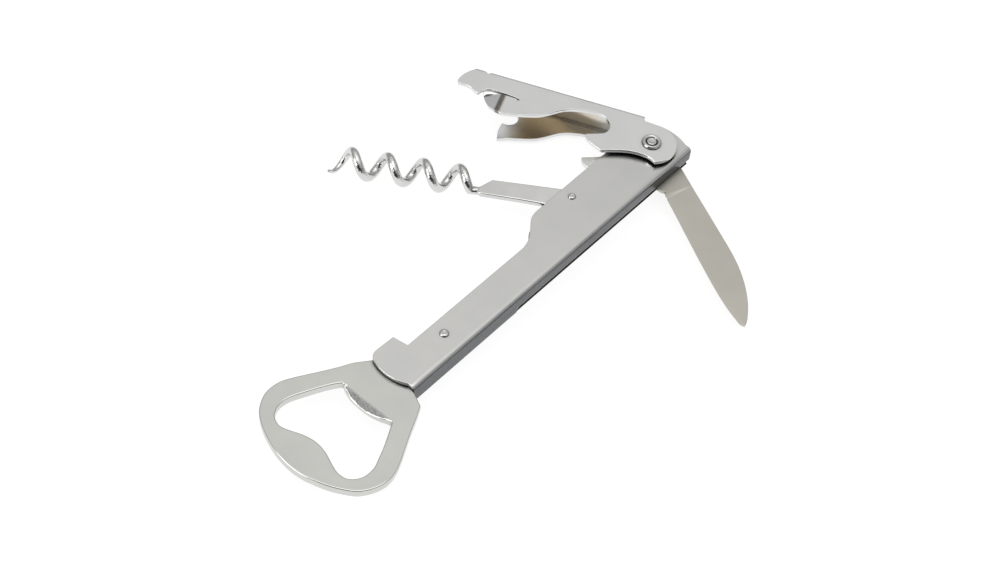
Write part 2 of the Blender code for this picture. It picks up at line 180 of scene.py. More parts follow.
def arc(centre, radius, start, end, steps=24):
    """Points along an arc between two angles in degrees."""
    angles = [math.radians(start + (end - start) * i / steps) for i in range(steps + 1)]
    return [Vector(centre) + radius * Vector((math.cos(angle), math.sin(angle))) for angle in angles]


def run_between(loop, keep):
    """The longest unbroken run of the closed loop's points that pass the test, in the loop's order."""
    count = len(loop)
    breaks = [i for i in range(count) if not keep(loop[i])]
    best = []
    for i in breaks:
        run = []
        k = (i + 1) % count
        while keep(loop[k]) and len(run) < count:
            run.append(loop[k])
            k = (k + 1) % count
        if len(run) > len(best):
            best = run
    return best


# Shapes -----------------------------------------------------------------------------------------------

def evaluated(data):
    """The solid that a curve makes, with the points of its parts joined."""
    obj = bpy.data.objects.new("curve", data)
    bpy.context.scene.collection.objects.link(obj)
    mesh = bpy.data.meshes.new_from_object(obj.evaluated_get(bpy.context.evaluated_depsgraph_get()))
    bpy.data.objects.remove(obj)
    shape = bmesh.new()
    shape.from_mesh(mesh)
    bpy.data.meshes.remove(mesh)
    bmesh.ops.remove_doubles(shape, verts=shape.verts, dist=SAME)
    return shape


def plate(loops, low, high, edge=0.13, smooth=3):
    """A flat plate between two heights with rounded edges, from its outline and then its holes.

    Its underside is marked in the attribute "inside", because it becomes the inside of a channel.
    """
    data = bpy.data.curves.new("plate", "CURVE")
    data.dimensions = "2D"
    data.fill_mode = "BOTH"
    data.extrude = (high - low) / 2 - edge
    data.bevel_depth = edge
    data.bevel_resolution = smooth
    data.offset = -edge - WITHIN
    for loop in loops:
        spline = data.splines.new("POLY")
        spline.points.add(len(loop) - 1)
        for point, (x, y) in zip(spline.points, loop):
            point.co = (x, y, 0.0, 1.0)
        spline.use_cyclic_u = True
    shape = evaluated(data)
    shape.transform(Matrix.Translation((0, 0, (low + high) / 2)))
    underside = shape.verts.layers.float.new("inside")
    for vert in shape.verts:
        vert[underside] = 1.0 if vert.co.z < low + edge / 4 else 0.0
    return shape


def slice_shape(shape, at, heading, near=None):
    """Cuts edges into the surface along an upright plane, so that it can bend there.

    near limits the cut to the faces whose middle passes the test.
    """
    faces = [face for face in shape.faces if near is None or near(face.calc_center_median())]
    edges = {edge for face in faces for edge in face.edges}
    verts = {vert for face in faces for vert in face.verts}
    normal = Vector((heading[0], heading[1], 0))
    geom = [*verts, *edges, *faces]
    bmesh.ops.bisect_plane(shape, geom=geom, dist=SAME, plane_co=(at[0], at[1], 0), plane_no=normal)


def slice_many(shape, places, heading):
    """Cuts the surface at each distance along heading, which is the X or the Y axis."""
    for place in places:
        slice_shape(shape, (place * heading[0], place * heading[1]), heading)


def fold(shape, start, heading, level, radius, angle, share=None):
    """Bends downwards what lies past a line through start, across heading.

    level is the height of the sheet's middle, and radius that of its middle in the bend. share, from 0 to
    1 at each point, makes part of it bend less.
    """
    start, heading = Vector(start), Vector(heading)
    for vert in shape.verts:
        past = (vert.co.xy - start).dot(heading)
        part = 1.0 if share is None else share(vert.co)
        if past <= 0 or part <= 0:
            continue
        whole = angle * part
        turn = min(past / radius, whole)
        beyond = past - radius * turn
        height = vert.co.z - level
        along = (radius + height) * math.sin(turn) + beyond * math.cos(turn)
        vert.co.z = level - radius + (radius + height) * math.cos(turn) - beyond * math.sin(turn)
        shift = heading * (along - past)
        vert.co.x += shift.x
        vert.co.y += shift.y


def fold_channel(shape, first, heading, level, spine):
    """Folds a blank into a channel: the far flange first, then back and flange together."""
    run = FOLD_R * math.pi / 2
    second = first + heading * (run + spine)
    for start in (first, second):
        slice_many(shape, [start + heading * run * i / FOLD_CUTS for i in range(FOLD_CUTS + 1)], (0, 1))
    for start in (second, first):
        fold(shape, (0, start), (0, heading), level, FOLD_R, math.pi / 2)


def turned(profile, at=(0, 0), steps=72):
    """A shape turned about the upright axis from its closed (radius, height) profile."""
    shape = bmesh.new()
    verts = [shape.verts.new((r, 0, z)) for r, z in profile]
    edges = [shape.edges.new((verts[i], verts[(i + 1) % len(verts)])) for i in range(len(verts))]
    edges = [edge for edge in edges if max(vert.co.x for vert in edge.verts) > 1e-6]
    bmesh.ops.spin(
        shape, geom=[*verts, *edges], cent=(0, 0, 0), axis=(0, 0, 1), angle=2 * math.pi, steps=steps,
        use_merge=True,
    )  # fmt: skip
    bmesh.ops.remove_doubles(shape, verts=shape.verts, dist=SAME)
    for vert in [vert for vert in shape.verts if not vert.link_faces]:
        shape.verts.remove(vert)
    shape.transform(Matrix.Translation((at[0], at[1], 0)))
    return shape


def rounded(points, radius, steps=5):
    """The closed profile with each corner that has a radius turned into an arc."""
    found = []
    count = len(points)
    for i in range(count):
        here = Vector(points[i])
        before, after = Vector(points[i - 1]), Vector(points[(i + 1) % count])
        r = radius[i]
        if not r:
            found.append(tuple(here))
            continue
        r = min(r, (before - here).length * 0.48, (after - here).length * 0.48)
        start = here + (before - here).normalized() * r
        end = here + (after - here).normalized() * r
        for k in range(steps + 1):
            u = k / steps
            found.append(tuple(start * (1 - u) ** 2 + here * 2 * u * (1 - u) + end * u**2))
    return found


def mirrored(loop, centre):
    """The loop mirrored about the line y = centre, and turned round so that it follows on from the loop."""
    return [Vector((point.x, 2 * centre - point.y)) for point in reversed(loop)]


def add_piece(node, shape, matrix, body, material, sharp=38.0):
    """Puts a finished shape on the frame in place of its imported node. Its flat faces are shaded flat."""
    bmesh.ops.recalc_face_normals(shape, faces=shape.faces)
    shape.normal_update()
    curved = [max(abs(part) for part in face.normal) < 0.99999 for face in shape.faces]
    shape.transform(matrix)
    mesh = bpy.data.meshes.new(node)
    shape.to_mesh(mesh)
    shape.free()
    mesh.set_sharp_from_angle(angle=math.radians(sharp))
    mesh.polygons.foreach_set("use_smooth", curved)
    mesh.materials.append(material)
    obj = bpy.data.objects.new(node, mesh)
    bpy.context.scene.collection.objects.link(obj)
    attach(obj, body)
    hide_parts(node)


# Finishes ---------------------------------------------------------------------------------------------

def metal(name, light, dark, roughness, turn=0.0, grain=0.5, wear=0.5, marks=(), ripple=0.0):
    """Plated or ground steel: cloudy tone, fine polishing lines, stray scratches, edges lightened by wear
    and by a painted highlight, and painted shade in crevices.

    light and dark are the tones that the clouds run between, and turn is the heading of the piece on the
    frame, which the polishing lines follow. Each mark is a mesh attribute, the tone of the part of the
    surface that it covers, and how mottled that is. ripple is the depth of the waves where the mesh's
    "forged" attribute is 1.
    """
    material = bpy.data.materials.new(name)
    material.use_nodes = True
    tree = material.node_tree
    shader = tree.nodes["Principled BSDF"]
    shader.inputs["Metallic"].default_value = 1.0

    def node(kind, **settings):
        made = tree.nodes.new(kind)
        for key, value in settings.items():
            if hasattr(made, key):
                setattr(made, key, value)
            else:
                made.inputs[key.replace("_", " ")].default_value = value
        return made

    def join(source, target):
        tree.links.new(source, target)

    def noise(scale, detail, stretch=(1, 1, 1)):
        mapping = node("ShaderNodeMapping")
        mapping.inputs["Rotation"].default_value = (0, 0, -turn)
        mapping.inputs["Scale"].default_value = stretch
        join(place.outputs["Object"], mapping.inputs["Vector"])
        made = node("ShaderNodeTexNoise", Scale=scale, Detail=detail, Roughness=0.55)
        join(mapping.outputs["Vector"], made.inputs["Vector"])
        return made.outputs["Fac"]

    def ramp(source, low, high, start=(0, 0, 0, 1), end=(1, 1, 1, 1)):
        made = node("ShaderNodeValToRGB")
        first, last = made.color_ramp.elements
        first.position, first.color = low, start
        last.position, last.color = high, end
        join(source, made.inputs["Fac"])
        return made.outputs["Color"]

    def mix(factor, first, second):
        made = node("ShaderNodeMix", data_type="RGBA")
        join(factor, made.inputs[0])
        for source, target in ((first, made.inputs[6]), (second, made.inputs[7])):
            if isinstance(source, tuple):
                target.default_value = source
            else:
                join(source, target)
        return made.outputs[2]

    def calculate(operation, first, second):
        made = node("ShaderNodeMath", operation=operation)
        for source, target in ((first, made.inputs[0]), (second, made.inputs[1])):
            if isinstance(source, (int, float)):
                target.default_value = source
            else:
                join(source, target)
        return made.outputs[0]

    place = node("ShaderNodeTexCoord")
    clouds = noise(110.0, 3.0)
    lines = noise(900.0, 2.0, (0.06, 3.0, 1.6))
    fine = noise(5200.0, 2.0)
    scratches = ramp(noise(520.0, 4.0, (0.10, 2.6, 1.0)), 0.66, 0.74)

    # Edges lightened, partly as real wear and partly as a painted highlight, found by comparing the surface
    # with a rounded version of it.
    soft = node("ShaderNodeBevel", samples=6)
    soft.inputs["Radius"].default_value = 0.00022
    flat = node("ShaderNodeNewGeometry")
    facing = node("ShaderNodeVectorMath", operation="DOT_PRODUCT")
    join(soft.outputs["Normal"], facing.inputs[0])
    join(flat.outputs["Normal"], facing.inputs[1])
    edges = ramp(calculate("SUBTRACT", 1.0, facing.outputs["Value"]), 0.015, 0.12)
    edge_wear_and_highlight = calculate("MULTIPLY", edges, wear)

    colour = mix(ramp(clouds, 0.3, 0.7), (*dark, 1.0), (*light, 1.0))
    if marks:
        speckle = ramp(noise(4200.0, 2.0), 0.38, 0.62)
    for attribute, tone, mottle in marks:
        covered = node("ShaderNodeAttribute", attribute_name=attribute)
        uneven = calculate("ADD", 0.90, calculate("MULTIPLY", lines, 0.15))
        darker, lighter = ((*(c * (1 + way * mottle) for c in tone), 1.0) for way in (-1, 1))
        spotted = mix(speckle, darker, lighter)
        colour = mix(calculate("MULTIPLY", covered.outputs["Fac"], uneven), colour, spotted)
    # Painted highlight: the edges' lighter tone partly stands in for the glint of rounded edges, and partly
    # is real wear.
    edge_highlight_tone = tuple(min(1.0, tone * 1.22) for tone in light)
    colour = mix(edge_wear_and_highlight, colour, (*edge_highlight_tone, 1.0))

    # Painted shade: where two pieces nearly touch, the colour is darkened by ambient occlusion, standing in
    # for the shade that falls there.
    crevice = node("ShaderNodeAmbientOcclusion", samples=6, only_local=False)
    crevice.inputs["Distance"].default_value = 0.0013
    crevice_shade = calculate("MULTIPLY", calculate("SUBTRACT", 1.0, ramp(crevice.outputs["AO"], 0.3, 0.88)), 0.92)
    colour = mix(crevice_shade, colour, (0.05, 0.048, 0.045, 1.0))
    join(colour, shader.inputs["Base Color"])

    rough = calculate("ADD", roughness - 0.045, calculate("MULTIPLY", clouds, 0.06))
    rough = calculate("ADD", rough, calculate("MULTIPLY", fine, 0.03))
    rough = calculate("ADD", rough, calculate("MULTIPLY", scratches, 0.04))
    rough = calculate("ADD", rough, calculate("MULTIPLY", edge_wear_and_highlight, 0.08))
    join(rough, shader.inputs["Roughness"])

    relief = calculate("ADD", calculate("MULTIPLY", lines, grain), calculate("MULTIPLY", fine, 0.25))
    relief = calculate("SUBTRACT", relief, calculate("MULTIPLY", scratches, 0.05))
    if ripple:
        forged = node("ShaderNodeAttribute", attribute_name="forged")
        depth = calculate("MULTIPLY", forged.outputs["Fac"], ripple)
        relief = calculate("ADD", relief, calculate("MULTIPLY", noise(1900.0, 1.5), depth))
    bump = node("ShaderNodeBump", Strength=0.22, Distance=0.000012)
    join(relief, bump.inputs["Height"])
    join(bump.outputs["Normal"], shader.inputs["Normal"])
    return material


# The handle -------------------------------------------------------------------------------------------

# The knife's slot along the spine: where it starts, and the heights of its two sides.
SLOT_START_X, SLOT_TOP, SLOT_BOTTOM = -58.5, -0.75, -2.4


def paint_spine_and_slot_shade(shape):
    """Paints the spine's surface dark as a painted reflection of shade, and its knife slot near black as
    painted shade.
    """
    layer = shape.verts.layers.float.new("painted spine shade")
    inner = shape.verts.layers.float["inside"]
    for vert in shape.verts:
        vert[layer] = clamped((SPINE_Y + 0.28 - vert.co.y) / 0.18)
        if vert.co.x > SLOT_START_X - 0.1 and vert.co.y < SPINE_Y + HANDLE_SHEET + 0.02:
            # Painted shade: the slot's lower side gets the near-black inside tone, and its upper edge a
            # share of the dark spine tone.
            if SLOT_BOTTOM - 0.5 < vert.co.z < SLOT_BOTTOM + 0.4:
                vert[inner] = 1.0
            elif abs(vert.co.z - SLOT_TOP) < 0.2:
                vert[layer] = 0.35


def handle():
    """The blank is drawn as the upper cheek, the spine below it and the lower cheek mirrored below that."""
    cheek, *holes = [smooth_loop(loop) for loop in face_loops("handle_channel", ON_HANDLE, CHEEK_OUT)]
    bend = SPINE_Y + OUTER_FOLD_R
    edge = run_between(cheek, lambda point: point.y > bend + 0.02)
    # The edge runs from the spine's pivot end round the cheek to its opener end.
    if edge[0].x < edge[-1].x:
        edge = edge[::-1]
    run = FOLD_R * math.pi / 2
    half_spine = CHEEK_OUT - OUTER_FOLD_R
    centre = bend - run - half_spine
    pivot_end, opener_end = edge[0].x, edge[-1].x
    slot_top = centre + SLOT_TOP
    # The slot's lower side lies a little way round the lower fold.
    slot_turn = math.asin(min(1.0, (-SLOT_BOTTOM - half_spine) / FOLD_R))
    slot_bottom = bend - run - 2 * half_spine - FOLD_R * slot_turn
    radius = (slot_top - slot_bottom) / 2
    slot_end = arc((SLOT_START_X + radius, (slot_top + slot_bottom) / 2), radius, 270, 90, 12)
    outline = [
        *edge, Vector((opener_end, bend)), Vector((opener_end, 2 * centre - bend)), *mirrored(edge, centre),
        Vector((pivot_end, slot_bottom)), *slot_end, Vector((pivot_end, slot_top)),
    ]  # fmt: skip
    other_holes = [mirrored(hole, centre) for hole in holes]
    shape = plate([outline, *holes, *other_holes], CHEEK_OUT - HANDLE_SHEET, CHEEK_OUT)
    slice_shape(shape, (0, slot_top + 0.3), (0, 1))
    slice_shape(shape, (SLOT_START_X - 0.3, 0), (1, 0))
    fold_channel(shape, bend, -1, CHEEK_OUT - HANDLE_SHEET / 2, 2 * half_spine)
    paint_spine_and_slot_shade(shape)
    # The spine's dark tone is a painted reflection of shade, and the near-black 'inside' tone on the
    # channel's inner faces and slot is painted shade.
    finish = metal(
        "handle_plate", (0.655, 0.65, 0.635), (0.61, 0.61, 0.60), 0.26, grain=0.4,
        marks=(("painted spine shade", (0.066, 0.07, 0.076), 0.6), ("inside", (0.03, 0.028, 0.026), 0.3)),
    )
    add_piece("handle_channel", shape, ON_HANDLE, "handle", finish)


# The opener -------------------------------------------------------------------------------------------

OPENER_LOW, OPENER_TOP = -0.2, 1.93
# The tooth: the line that it is pressed from, an x past its rim, its two sides, and its depth at the rim.
TOOTH_X, TOOTH_END_X, TOOTH_SIDES, TOOTH_DROP = -102.3, -105.0, (-9.2, 4.4), 1.0


def opener():
    loops = [smooth_loop(loop) for loop in face_loops("opener_plate", ON_HANDLE, OPENER_TOP)]
    low_side, high_side = TOOTH_SIDES
    shape = plate(loops, OPENER_LOW, OPENER_TOP, edge=0.3, smooth=4)

    def near(point):
        return TOOTH_END_X < point.x < TOOTH_X and low_side < point.y < high_side

    slice_many(shape, (TOOTH_X, TOOTH_X + 0.3, TOOTH_X + 0.8, TOOTH_END_X), (1, 0))
    slice_many(shape, TOOTH_SIDES, (0, 1))
    for i in range(1, 14):
        slice_shape(shape, (TOOTH_X - 0.15 * i, 0), (1, 0), near)
    for i in range(1, 36):
        slice_shape(shape, (0, low_side + i * (high_side - low_side) / 36), (0, 1), near)
    # The tooth is pressed thinner from above, towards its rim.
    # The pressed top is also painted darker and mottled: partly press marks, partly painted shade of the
    # sloping tooth.
    pressed = shape.verts.layers.float.new("pressed")
    for vert in shape.verts:
        into = TOOTH_X - vert.co.x
        aside = min(vert.co.y - low_side, high_side - vert.co.y)
        if not (0 < into < 2.2 and aside > 0):
            continue
        share = min(1.0, into / 1.75) * min(1.0, aside / 0.8)
        vert[pressed] = min(1.0, 3 * share) if vert.co.z > OPENER_TOP - 0.12 else 0.0
        vert.co.z -= TOOTH_DROP * share * (vert.co.z - OPENER_LOW) / (OPENER_TOP - OPENER_LOW)
    finish = metal(
        "opener_plate", (0.625, 0.63, 0.60), (0.585, 0.59, 0.565), 0.18, turn=math.pi / 2, grain=0.4,
        marks=(("pressed", (0.33, 0.33, 0.325), 0.45),),
    )
    add_piece("opener_plate", shape, ON_HANDLE, "handle", finish)


# The lever --------------------------------------------------------------------------------------------

# Where the bottle foot leaves the leg, where it starts to bend, and how far it leans, in radians.
FOOT_X, FOOT_BEND_X, FOOT_LEAN = -37.2, -37.9, 0.26
# The end of the bridge that the two legs and the nose stand out from.
BRIDGE_END = -37.8
FOOT = [
    (0.0, -4.5), (-1.6, -3.95), (-3.5, -2.9), (-4.8, -1.4), (-5.6, -0.2), (-6.0, 0.6), (-5.6, 1.25),
    (-4.4, 1.65), (-2.6, 1.8), (0.0, 1.8), (2.3, 1.75),
]  # fmt: skip


def leg(level, bend):
    """The outline of one leg from its tip to its ear, and its holes."""
    outline, *holes = [smooth_loop(loop) for loop in face_loops("lever", ON_LEVER, level)]
    outline = run_between(outline, lambda point: point.y < bend - 0.02)
    if outline[0].x > outline[-1].x:
        outline = outline[::-1]
    return outline, holes


def lever():
    """The blank is drawn as the upper leg, the bridge above it and the lower leg mirrored above that."""
    bend = BRIDGE_Y - OUTER_FOLD_R
    upper, holes = leg(LEVER_OUT, bend)
    lower, lower_holes = leg(-LEVER_OUT, bend)
    # The foot's own outline takes the place of the upper leg's straight end below the slit.
    foot = smooth_loop([Vector((FOOT_X + x, y)) for x, y in FOOT], corner=50, straight=9)
    foot = foot[: max(i for i, p in enumerate(foot) if p.y > 1.7) + 1]
    cut = [
        i for i, p in enumerate(upper)
        if (abs(p.x + 37.3) < 0.35 and -4.9 < p.y < 1.3) or (-37.7 < p.x < -34.7 and 0.9 < p.y < 1.5)
    ]
    upper[cut[0]: cut[-1] + 1] = foot[::-1]
    run = FOLD_R * math.pi / 2
    half_bridge = LEVER_OUT - OUTER_FOLD_R
    centre = bend + run + half_bridge
    nose_top = bend + FOLD_R * math.radians(78)
    # The nose's own rounded end, which a small dip parts from the bridge.
    lobe = [(4.9, nose_top), (4.3, bend + 0.35), (3.7, bend - 0.05), (3.1, bend + 0.2), (2.2, bend + 0.62),
            (1.1, bend + 0.7), (0.3, bend + 0.45)]  # fmt: skip
    lobe = [Vector((upper[0].x + x, y)) for x, y in lobe]
    outline = [
        *upper, Vector((upper[-1].x, bend)), Vector((lower[-1].x, 2 * centre - bend)),
        *mirrored(lower, centre), Vector((BRIDGE_END, 2 * centre - bend)),
        Vector((BRIDGE_END, nose_top + 0.4)), Vector((BRIDGE_END - 0.4, nose_top)), *lobe,
    ]  # fmt: skip
    other_holes = [mirrored(hole, centre) for hole in lower_holes]
    shape = plate([outline, *holes, *other_holes], LEVER_OUT - LEVER_SHEET, LEVER_OUT)

    slice_many(shape, [FOOT_BEND_X - 0.1 * i for i in range(14)], (1, 0))
    slice_shape(shape, (FOOT_BEND_X + 0.1, 0), (1, 0))
    slice_many(shape, [-38.0 + 0.6 * i for i in range(10)], (1, 0))
    slice_many(shape, [-4.2 + 0.7 * i for i in range(9)], (0, 1))
    fold_channel(shape, bend, 1, LEVER_OUT - LEVER_SHEET / 2, 2 * half_bridge)
    # The channel's inside is painted a warm brown, a painted reflection of warm surroundings, but not the
    # ends of the legs and the ears.
    slice_many(shape, (-17.5, -16.5, -11.5), (1, 0))
    slice_many(shape, (-2.5, -1.5), (0, 1))
    inner = shape.verts.layers.float["inside"]
    for vert in shape.verts:
        leg_end = clamped((vert.co.x + 36.5) / 3.5)
        ear = vert.co.x > -17 and (vert.co.y < -2 or vert.co.x > -12)
        vert[inner] *= 0.0 if ear else leg_end

    def on_foot(point):
        past = FOOT_X - point.x
        slit = 2.1 - max(0.0, past - 4.0) * 0.3
        return 1.0 if point.z > 0 and point.y < slit and past < 6.3 else 0.0

    # Painted shade: a dark band along the foot's bend, standing in for the dark reflection that its curve
    # catches.
    painted_bend_shade = shape.verts.layers.float.new("painted_bend_shade")
    for vert in shape.verts:
        if on_foot(vert.co):
            vert[painted_bend_shade] = clamped(1.7 - 1.7 * abs(FOOT_BEND_X - 0.45 - vert.co.x) / 0.85)
    fold(shape, (FOOT_BEND_X, 0), (-1, 0), LEVER_OUT - LEVER_SHEET / 2, 3.0, FOOT_LEAN, on_foot)
    # Painted reflection: the warm 'inside' tone. Painted shade: the dark tone along the foot's bend.
    finish = metal(
        "lever_plate", (0.765, 0.77, 0.765), (0.72, 0.725, 0.72), 0.22, turn=-LEVER_OPEN, grain=0.5,
        marks=(("inside", (0.68, 0.62, 0.52), 0.08), ("painted_bend_shade", (0.20, 0.18, 0.155), 0.3)),
    )
    add_piece("lever", shape, ON_LEVER, "lever", finish)


# The worm ---------------------------------------------------------------------------------------------

SHANK_LOW, SHANK_TOP = 0.2, 1.6
COIL_PITCH, COIL_TURNS, COIL_R, WIRE_R = 8.69, 3.93, 2.80, 1.14
# The helix's axis, in y and z, and how far from the pin it starts.
COIL_OFFSET, COIL_Z, COIL_START = 2.45, 0.2, 24.15
# The wire beside the shank, before the helix: its middle, and its share of the full radius.
LEAD_IN = [
    (-15.0, -0.6, 0.85, 0.55), (-17.0, -0.66, 0.85, 0.6), (-19.0, -0.66, 0.8, 0.68),
    (-21.2, -0.56, 0.62, 0.85),
]  # fmt: skip
# The wire thins over this last share of a turn.
POINT_TURN = 0.55


def wire_line(per_turn=72):
    """Centre and radius along the wire: its run beside the shank, the helix, and the drawn-out point."""
    line = [(Vector((x, y, z)), share) for x, y, z, share in LEAD_IN]
    count = round(COIL_TURNS * per_turn)
    for i in range(count + 1):
        angle = -math.pi / 2 + 2 * math.pi * i / per_turn
        left = (count - i) / per_turn
        thin = 1.0 if left > POINT_TURN else 0.30 + 0.70 * (left / POINT_TURN) ** 0.8
        centre = Vector((
            -(COIL_START + COIL_PITCH * i / per_turn),
            COIL_OFFSET + COIL_R * math.sin(angle),
            COIL_Z + COIL_R * math.cos(angle),
        ))  # fmt: skip
        line.append((centre, thin))
    return line


def wire_shape():
    """The wire as a solid, marked as forged where it is coiled."""
    data = bpy.data.curves.new("wire", "CURVE")
    data.dimensions = "3D"
    data.bevel_depth = WIRE_R
    data.bevel_resolution = 10
    data.use_fill_caps = True
    line = wire_line()
    spline = data.splines.new("POLY")
    spline.points.add(len(line) - 1)
    for point, (centre, radius) in zip(spline.points, line):
        point.co = (*centre, 1.0)
        point.radius = radius
    shape = evaluated(data)
    bmesh.ops.recalc_face_normals(shape, faces=shape.faces)
    forged = shape.verts.layers.float.new("forged")
    for vert in shape.verts:
        vert[forged] = clamped((-19 - vert.co.x) / 4)
    return shape


def worm():
    """The flat shank and the wire are put into one mesh, overlapping where they meet, as one pressed piece.
    """
    loops = [smooth_loop(loop) for loop in face_loops("worm", ON_WORM, SHANK_TOP)]
    shape = plate(loops, SHANK_LOW, SHANK_TOP, edge=0.3, smooth=4)
    wire = wire_shape()
    shape.verts.layers.float.new("forged")
    bmesh.ops.recalc_face_normals(shape, faces=shape.faces)
    joined = bpy.data.meshes.new("wire")
    wire.to_mesh(joined)
    wire.free()
    shape.from_mesh(joined)
    bpy.data.meshes.remove(joined)
    finish = metal(
        "worm_plate", (0.69, 0.685, 0.675), (0.60, 0.60, 0.59), 0.1, turn=-WORM_OPEN, grain=0.5, ripple=42.0
    )
    add_piece("worm", shape, ON_WORM, "worm", finish, sharp=50)


# The knife --------------------------------------------------------------------------------------------

BLADE_LOW, BLADE_TOP = -1.85, -0.95
# Where the grind starts, how soon it is at full depth, and how far it slants with y.
PLUNGE_X, PLUNGE_RUN, PLUNGE_SLANT = -12.2, 0.7, 0.18
# The grind fades out past this distance down the blade.
POINT_X = -44
# x down the blade, and the y of its two sides there.
STATIONS = [
    (-11.3, 0.55, -6.6), (-14.0, 0.95, -6.62), (-19.0, 1.1, -6.7), (-26.4, 1.4, -6.75), (-32.0, 1.6, -6.78),
    (-37.0, 1.72, -6.55), (-41.0, 1.78, -5.95), (-44.5, 1.75, -5.1), (-47.5, 1.6, -4.1), (-50.0, 1.35, -3.0),
    (-52.0, 1.05, -1.9), (-53.4, 0.8, -0.95), (-54.4, 0.12, 0.0),
]  # fmt: skip
# The corner between the tang and the blade's back.
HEEL = [(-8.2, 2.1), (-9.6, 1.9), (-10.8, 1.2), (-11.2, 0.55), (-12.2, 0.7)]


def blade_sides(x):
    """The y of the blade's two sides at a distance down it, as in STATIONS."""
    for (x0, *start), (x1, *end) in zip(STATIONS, STATIONS[1:]):
        if x1 <= x <= x0:
            u = (x0 - x) / (x0 - x1)
            return [a + (b - a) * u for a, b in zip(start, end)]
    return STATIONS[0][1:] if x > STATIONS[0][0] else STATIONS[-1][1:]


def blade_outline():
    tang = arc((0, 0), 4.3, -55, 150, 60)
    first_side = [Vector((x, first)) for x, first, _ in STATIONS[1:]]
    second_side = [Vector((x, second)) for x, _, second in reversed(STATIONS[:-1])]
    blade = smooth_loop([*first_side, *second_side], corner=60, straight=9)
    heel = [Vector(point) for point in HEEL]
    return [*tang, *heel, *blade[:-1], Vector((-5.4, -6.6)), Vector((-3.5, -5.2))]


def knife():
    outline = blade_outline()
    hole = arc((0, 0), 1.28, 0, 355, 71)
    shape = plate([outline, hole], BLADE_LOW, BLADE_TOP, edge=0.1)
    middle, half = (BLADE_LOW + BLADE_TOP) / 2, (BLADE_TOP - BLADE_LOW) / 2
    for i in range(28):
        slice_shape(shape, (PLUNGE_X + 0.9 - 0.12 * i, 0), (1, PLUNGE_SLANT))
    slice_many(shape, [-15.0 - 0.88 * i for i in range(46)], (1, 0))
    slice_many(shape, [1.9 - 0.36 * i for i in range(24)], (0, 1))
    for vert in shape.verts:
        x, y = vert.co.x + PLUNGE_SLANT * vert.co.y, vert.co.y
        into = clamped((PLUNGE_X - x) / PLUNGE_RUN)
        if into <= 0:
            continue
        into = into * into * (3 - 2 * into)
        first, second = blade_sides(vert.co.x)
        up = clamped((first - y) / max(first - second, 0.3))
        ground = 0.10 + 0.86 * up ** 0.8
        taper = 1.0 if vert.co.x > POINT_X else max(0.3, 1 - (POINT_X - vert.co.x) / 16)
        share = (1 - into) + into * ground * taper
        vert.co.z = middle + (vert.co.z - middle) * share
    finish = metal(
        "blade", (0.56, 0.54, 0.49), (0.52, 0.50, 0.45), 0.44, turn=KNIFE_OPEN + math.pi / 2, grain=1.1,
        wear=0.8,
    )  # fmt: skip
    add_piece("knife_blade", shape, ON_KNIFE, "knife", finish, sharp=60)


# Rivets -----------------------------------------------------------------------------------------------

# Each rivet's place, the radii of its head and shank, and the height of its head.
SMALL_RIVETS = {
    "opener_rivet": ((-77.9, -2.2), 1.1, 0.9, 0.42),
    "worm_pin": ((-26.2, 3.46), 0.95, 0.75, 0.34),
}
# The gaps under the collars and under the small rivets' heads.
COLLAR_GAP, HEAD_GAP = 0.1, 0.06


def rivets():
    peened = metal("rivet_steel", (0.60, 0.60, 0.59), (0.52, 0.52, 0.51), 0.18, grain=0.3, wear=0.7)
    face = LEVER_OUT + COLLAR_GAP
    bead = [
        (1.30, face + 0.16), (1.45, face + 0.40), (1.75, face + 0.60), (2.05, face + 0.62),
        (2.3, face + 0.40), (2.42, face + 0.12), (2.42, face), (1.30, face),
    ]  # fmt: skip
    bead = rounded(bead, (0.05, 0.2, 0.2, 0.2, 0.15, 0.05, 0.03, 0.03))
    for side, name in ((1, "upper"), (-1, "lower")):
        shape = turned([(r, side * z) for r, z in bead])
        add_piece(f"rivet_collar_{name}", shape, ON_HANDLE, "handle", peened)
    top = [(0, face + 0.42), (0.55, face + 0.42), (0.95, face + 0.52), (1.2, face + 0.40), (1.2, 0)]
    both_ends = [*top, *[(r, -z) for r, z in reversed(top[:-1])]]
    profile = rounded(both_ends, (0, 0.2, 0.12, 0.1, 0, 0.1, 0.12, 0.2, 0))
    add_piece("main_rivet", turned(profile), ON_HANDLE, "handle", peened)
    for name, (at, head, shank, height) in SMALL_RIVETS.items():
        z = CHEEK_OUT + HEAD_GAP
        top = [
            (0, z + height * 0.86), (head * 0.42, z + height * 0.80), (head * 0.52, z + height),
            (head * 0.85, z + height * 0.72), (head, z + height * 0.2), (head, z), (shank, z),
        ]  # fmt: skip
        radii = (0, 0.12, 0.14, 0.2, 0.08, 0.02, 0)
        profile = rounded([*top, *[(r, -y) for r, y in reversed(top)]], (*radii, *reversed(radii)))
        add_piece(name, turned(profile, at), ON_HANDLE, "handle", peened)


def hidden_pieces():
    """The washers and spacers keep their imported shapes."""
    turned_steel = metal("spacer_steel", (0.60, 0.59, 0.57), (0.52, 0.51, 0.49), 0.26, grain=0.8)
    washers = ("bearing_washer_upper", "bearing_washer_lower")
    for name in (*washers, "knife_spacer", "worm_spacer", "opener_spacer"):
        for slot in frame["nodes"][name].material_slots:
            slot.material = turned_steel


# The studio -------------------------------------------------------------------------------------------

